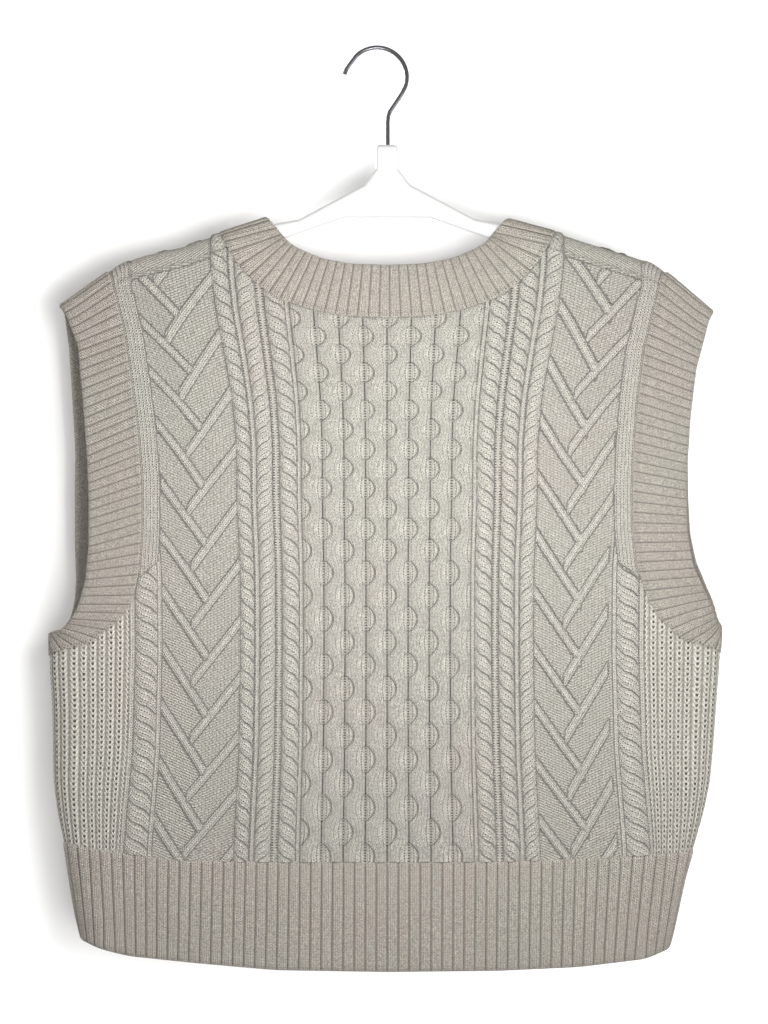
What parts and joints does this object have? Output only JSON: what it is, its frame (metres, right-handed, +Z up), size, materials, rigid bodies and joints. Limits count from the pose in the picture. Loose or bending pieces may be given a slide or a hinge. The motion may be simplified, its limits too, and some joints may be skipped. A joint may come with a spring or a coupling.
{
  "type": "knitted sweater vest on a hanger",
  "caption": "Cropped cable-knit sweater vest with wide rib bands at neck, armholes and hem, hanging on a slim hanger.",
  "frame": {"origin": "inside of the crown of the hanger's hook, where a rail carries it", "axes": "+Z up, towards the hook's crown; +X to the right as the back of the vest is seen; +Y through the vest from its back to its front"},
  "size_m": [0.471, 0.035, 0.6489],
  "materials": {
    "cable_knit": "matte heather wool blend, cables",
    "rib_knit": "matte heather wool blend, rib",
    "hanger_white": "plain white, satin",
    "hook_steel": "dark polished wire"
  },
  "bodies": {
    "root": {"back_panel": "cable_knit", "front_panel": "cable_knit", "neckband": "rib_knit", "armband_left": "rib_knit", "armband_right": "rib_knit", "hem_back": "rib_knit", "hem_front": "rib_knit", "hanger_body": "hanger_white", "hanger_hook": "hook_steel"}
  },
  "joints": []
}
